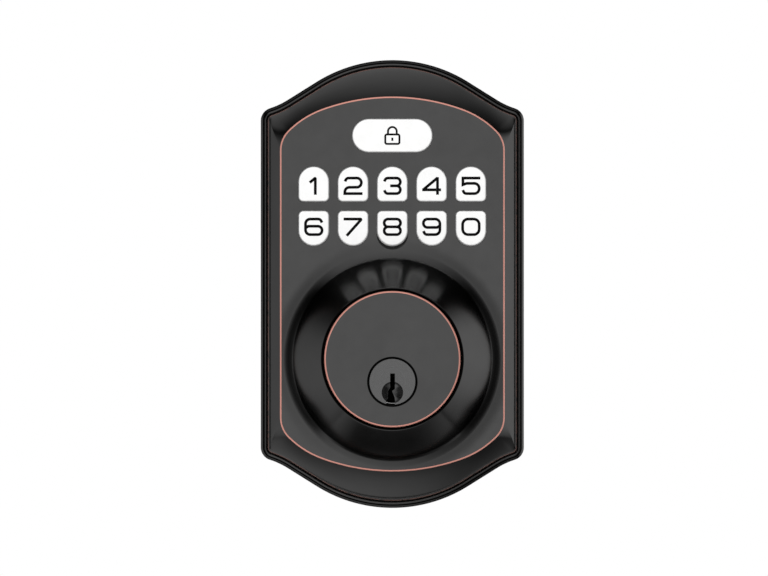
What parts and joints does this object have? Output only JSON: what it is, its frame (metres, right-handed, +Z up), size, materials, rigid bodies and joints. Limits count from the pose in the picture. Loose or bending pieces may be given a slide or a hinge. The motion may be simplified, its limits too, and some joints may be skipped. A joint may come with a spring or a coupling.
{
  "type": "keypad smart lock",
  "caption": "Outside unit of a keypad door lock: cast escutcheon with lit push keys above a domed key cylinder whose tailpiece reaches through the door.",
  "frame": {"origin": "where the key cylinder's axis crosses the door's outer face, which is also the middle of the two mounting posts", "axes": "+X to the right as seen from outside, +Y into the door along the cylinder's axis, +Z up"},
  "size_m": [0.0728, 0.0893, 0.1236],
  "materials": {
    "black_metal": "semi-gloss oil-rubbed bronze with copper edges",
    "silicone": "matt translucent silicone",
    "circuit_board": "solder mask",
    "steel": "plain",
    "led": "clear resin",
    "black_plastic": "moulded",
    "socket_plastic": "moulded nylon",
    "hardened_steel": "ground",
    "brass": "machined",
    "zinc": "die cast",
    "zinc_plated_steel": "zinc plated",
    "black_rubber": "closed-cell foam",
    "key_plastic": "white, lit from behind"
  },
  "bodies": {
    "lock_case": {"escutcheon": "black_metal", "cylinder_cap": "black_metal", "keypad_membrane": "silicone", "circuit_board": "circuit_board", "switch_domes": "steel", "backlight_leds": "led", "controller_chip": "black_plastic", "buzzer": "black_plastic", "cable_socket": "socket_plastic", "board_cover": "black_plastic", "board_screws": "steel", "retainer_screws": "steel", "back_plate_screws": "steel", "anti_drill_plate": "hardened_steel", "cylinder_body": "brass", "pin_chamber_cover": "brass", "cylinder_retainer": "zinc", "driver_pins": "brass", "pin_springs": "steel", "back_plate": "zinc_plated_steel", "door_gasket": "black_rubber", "mounting_posts": "steel", "cable_grommet": "black_rubber"},
    "plug_set": {"plug": "black_metal", "key_pins": "brass", "tailpiece": "steel", "tailpiece_clip": "steel", "tailpiece_pin": "steel"},
    "key_1": {"key_1": "key_plastic"},
    "key_2": {"key_2": "key_plastic"},
    "key_3": {"key_3": "key_plastic"},
    "key_4": {"key_4": "key_plastic"},
    "key_5": {"key_5": "key_plastic"},
    "key_6": {"key_6": "key_plastic"},
    "key_7": {"key_7": "key_plastic"},
    "key_8": {"key_8": "key_plastic"},
    "key_9": {"key_9": "key_plastic"},
    "key_0": {"key_0": "key_plastic"},
    "lock_key": {"lock_key": "key_plastic"}
  },
  "joints": [
    {"name": "plug_turn", "type": "hinge", "parent": "lock_case", "child": "plug_set", "pos_m": [0, 0, 0], "axis": [0, 1, 0], "range_deg": [-90, 90]},
    {"name": "key_1_press", "type": "slide", "parent": "lock_case", "child": "key_1", "axis": [0, 1, 0], "range_m": [0, 0.0008], "stiffness_N_per_m": 1500, "springref_m": -0.0004, "deforming": ["keypad_membrane"]},
    {"name": "key_2_press", "type": "slide", "parent": "lock_case", "child": "key_2", "axis": [0, 1, 0], "range_m": [0, 0.0008], "stiffness_N_per_m": 1500, "springref_m": -0.0004, "deforming": ["keypad_membrane"]},
    {"name": "key_3_press", "type": "slide", "parent": "lock_case", "child": "key_3", "axis": [0, 1, 0], "range_m": [0, 0.0008], "stiffness_N_per_m": 1500, "springref_m": -0.0004, "deforming": ["keypad_membrane"]},
    {"name": "key_4_press", "type": "slide", "parent": "lock_case", "child": "key_4", "axis": [0, 1, 0], "range_m": [0, 0.0008], "stiffness_N_per_m": 1500, "springref_m": -0.0004, "deforming": ["keypad_membrane"]},
    {"name": "key_5_press", "type": "slide", "parent": "lock_case", "child": "key_5", "axis": [0, 1, 0], "range_m": [0, 0.0008], "stiffness_N_per_m": 1500, "springref_m": -0.0004, "deforming": ["keypad_membrane"]},
    {"name": "key_6_press", "type": "slide", "parent": "lock_case", "child": "key_6", "axis": [0, 1, 0], "range_m": [0, 0.0008], "stiffness_N_per_m": 1500, "springref_m": -0.0004, "deforming": ["keypad_membrane"]},
    {"name": "key_7_press", "type": "slide", "parent": "lock_case", "child": "key_7", "axis": [0, 1, 0], "range_m": [0, 0.0008], "stiffness_N_per_m": 1500, "springref_m": -0.0004, "deforming": ["keypad_membrane"]},
    {"name": "key_8_press", "type": "slide", "parent": "lock_case", "child": "key_8", "axis": [0, 1, 0], "range_m": [0, 0.0008], "stiffness_N_per_m": 1500, "springref_m": -0.0004, "deforming": ["keypad_membrane"]},
    {"name": "key_9_press", "type": "slide", "parent": "lock_case", "child": "key_9", "axis": [0, 1, 0], "range_m": [0, 0.0008], "stiffness_N_per_m": 1500, "springref_m": -0.0004, "deforming": ["keypad_membrane"]},
    {"name": "key_0_press", "type": "slide", "parent": "lock_case", "child": "key_0", "axis": [0, 1, 0], "range_m": [0, 0.0008], "stiffness_N_per_m": 1500, "springref_m": -0.0004, "deforming": ["keypad_membrane"]},
    {"name": "lock_key_press", "type": "slide", "parent": "lock_case", "child": "lock_key", "axis": [0, 1, 0], "range_m": [0, 0.0008], "stiffness_N_per_m": 1500, "springref_m": -0.0004, "deforming": ["keypad_membrane"]}
  ]
}
